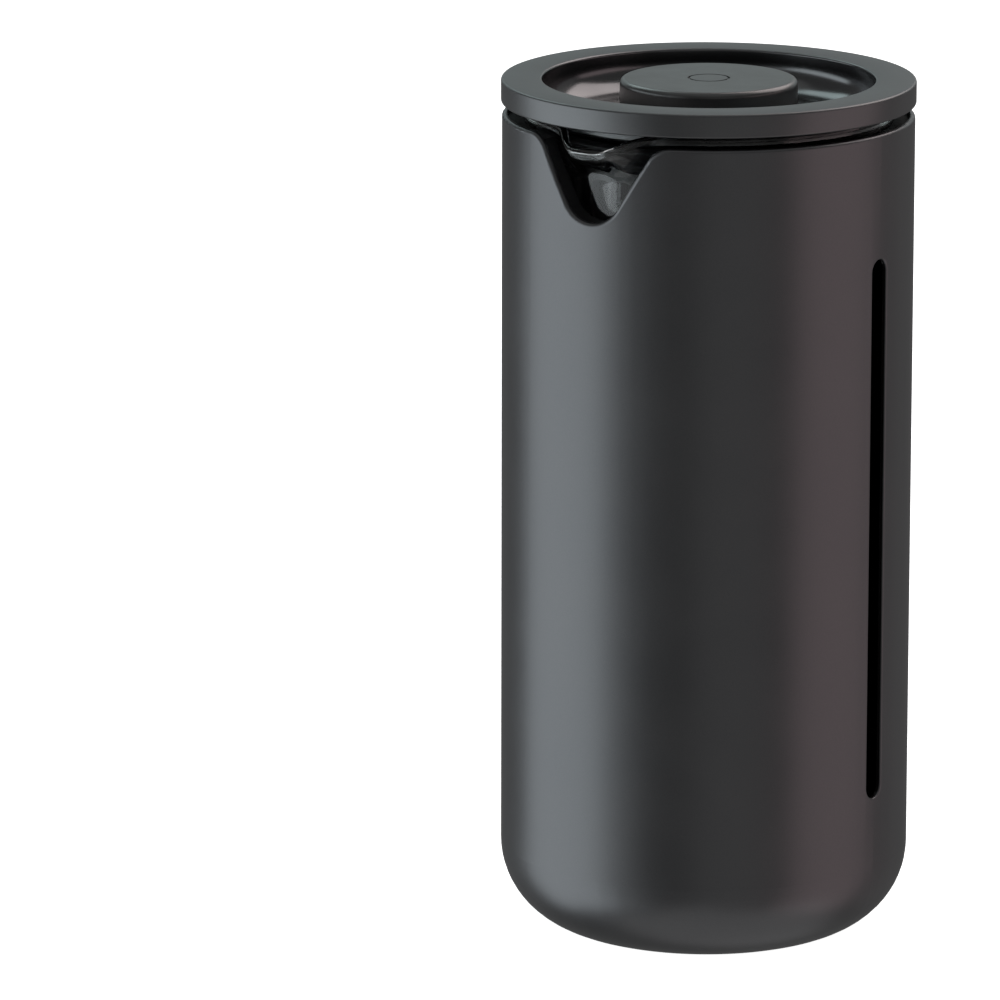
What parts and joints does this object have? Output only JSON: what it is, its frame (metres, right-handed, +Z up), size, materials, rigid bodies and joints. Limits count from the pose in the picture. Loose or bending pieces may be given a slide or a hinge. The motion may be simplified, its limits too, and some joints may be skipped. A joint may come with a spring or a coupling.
{
  "type": "french press",
  "caption": "Small french press: rounded metal shell with level window, glass liner with spout, dished lid with strainer skirt, and a rod plunger with a mesh filter.",
  "frame": {"origin": "centre of the base pad's flat underside, on the axis of the shell and the rod", "axes": "+Z up along the rod, -Y towards the pouring spout, +X towards the level window"},
  "size_m": [0.084, 0.0868, 0.177],
  "materials": {
    "shell_metal": "satin, fine grain",
    "lid_metal": "satin, fine grain",
    "knob_plastic": "satin",
    "black_plastic": "satin moulded",
    "black_silicone": "matt",
    "clear_glass": "polished",
    "rod_steel": "polished, fine lengthwise grain",
    "bush_plastic": "natural low-friction plastic",
    "steel_mesh": "fine woven mesh",
    "plate_steel": "rolled",
    "fastener_steel": "plain",
    "insert_brass": "turned"
  },
  "bodies": {
    "carafe": {"outer_shell": "shell_metal", "base_pad": "black_silicone", "glass_liner": "clear_glass", "liner_top_gasket": "black_silicone", "liner_bottom_cushion": "black_silicone"},
    "lid_grip": {"lid_seal": "black_silicone"},
    "lid": {"lid_cover": "lid_metal", "strainer_skirt": "black_plastic", "lid_screws": "fastener_steel", "rod_bush": "bush_plastic", "bush_clip": "fastener_steel"},
    "rod_grip": {"rod_seal": "black_silicone"},
    "plunger": {"knob_cap": "knob_plastic", "knob_body": "black_plastic", "knob_insert": "insert_brass", "plunger_rod": "rod_steel", "rod_ferrule": "plate_steel", "filter_frame": "black_plastic", "filter_mesh": "steel_mesh", "mesh_support": "plate_steel", "filter_seal": "black_silicone", "mesh_retainer": "black_plastic", "hub_nut": "fastener_steel"}
  },
  "joints": [
    {"name": "lid_lift", "type": "slide", "parent": "carafe", "child": "lid_grip", "axis": [0, 0, 1], "range_m": [0, 0.18]},
    {"name": "lid_turn", "type": "hinge", "parent": "lid_grip", "child": "lid", "pos_m": [0, 0, 0.17], "axis": [0, 0, 1], "continuous": true},
    {"name": "plunger_turn", "type": "hinge", "parent": "lid", "child": "rod_grip", "pos_m": [0, 0, 0.17], "axis": [0, 0, 1], "continuous": true},
    {"name": "plunger_slide", "type": "slide", "parent": "rod_grip", "child": "plunger", "axis": [0, 0, 1], "range_m": [0, 0.123]}
  ]
}
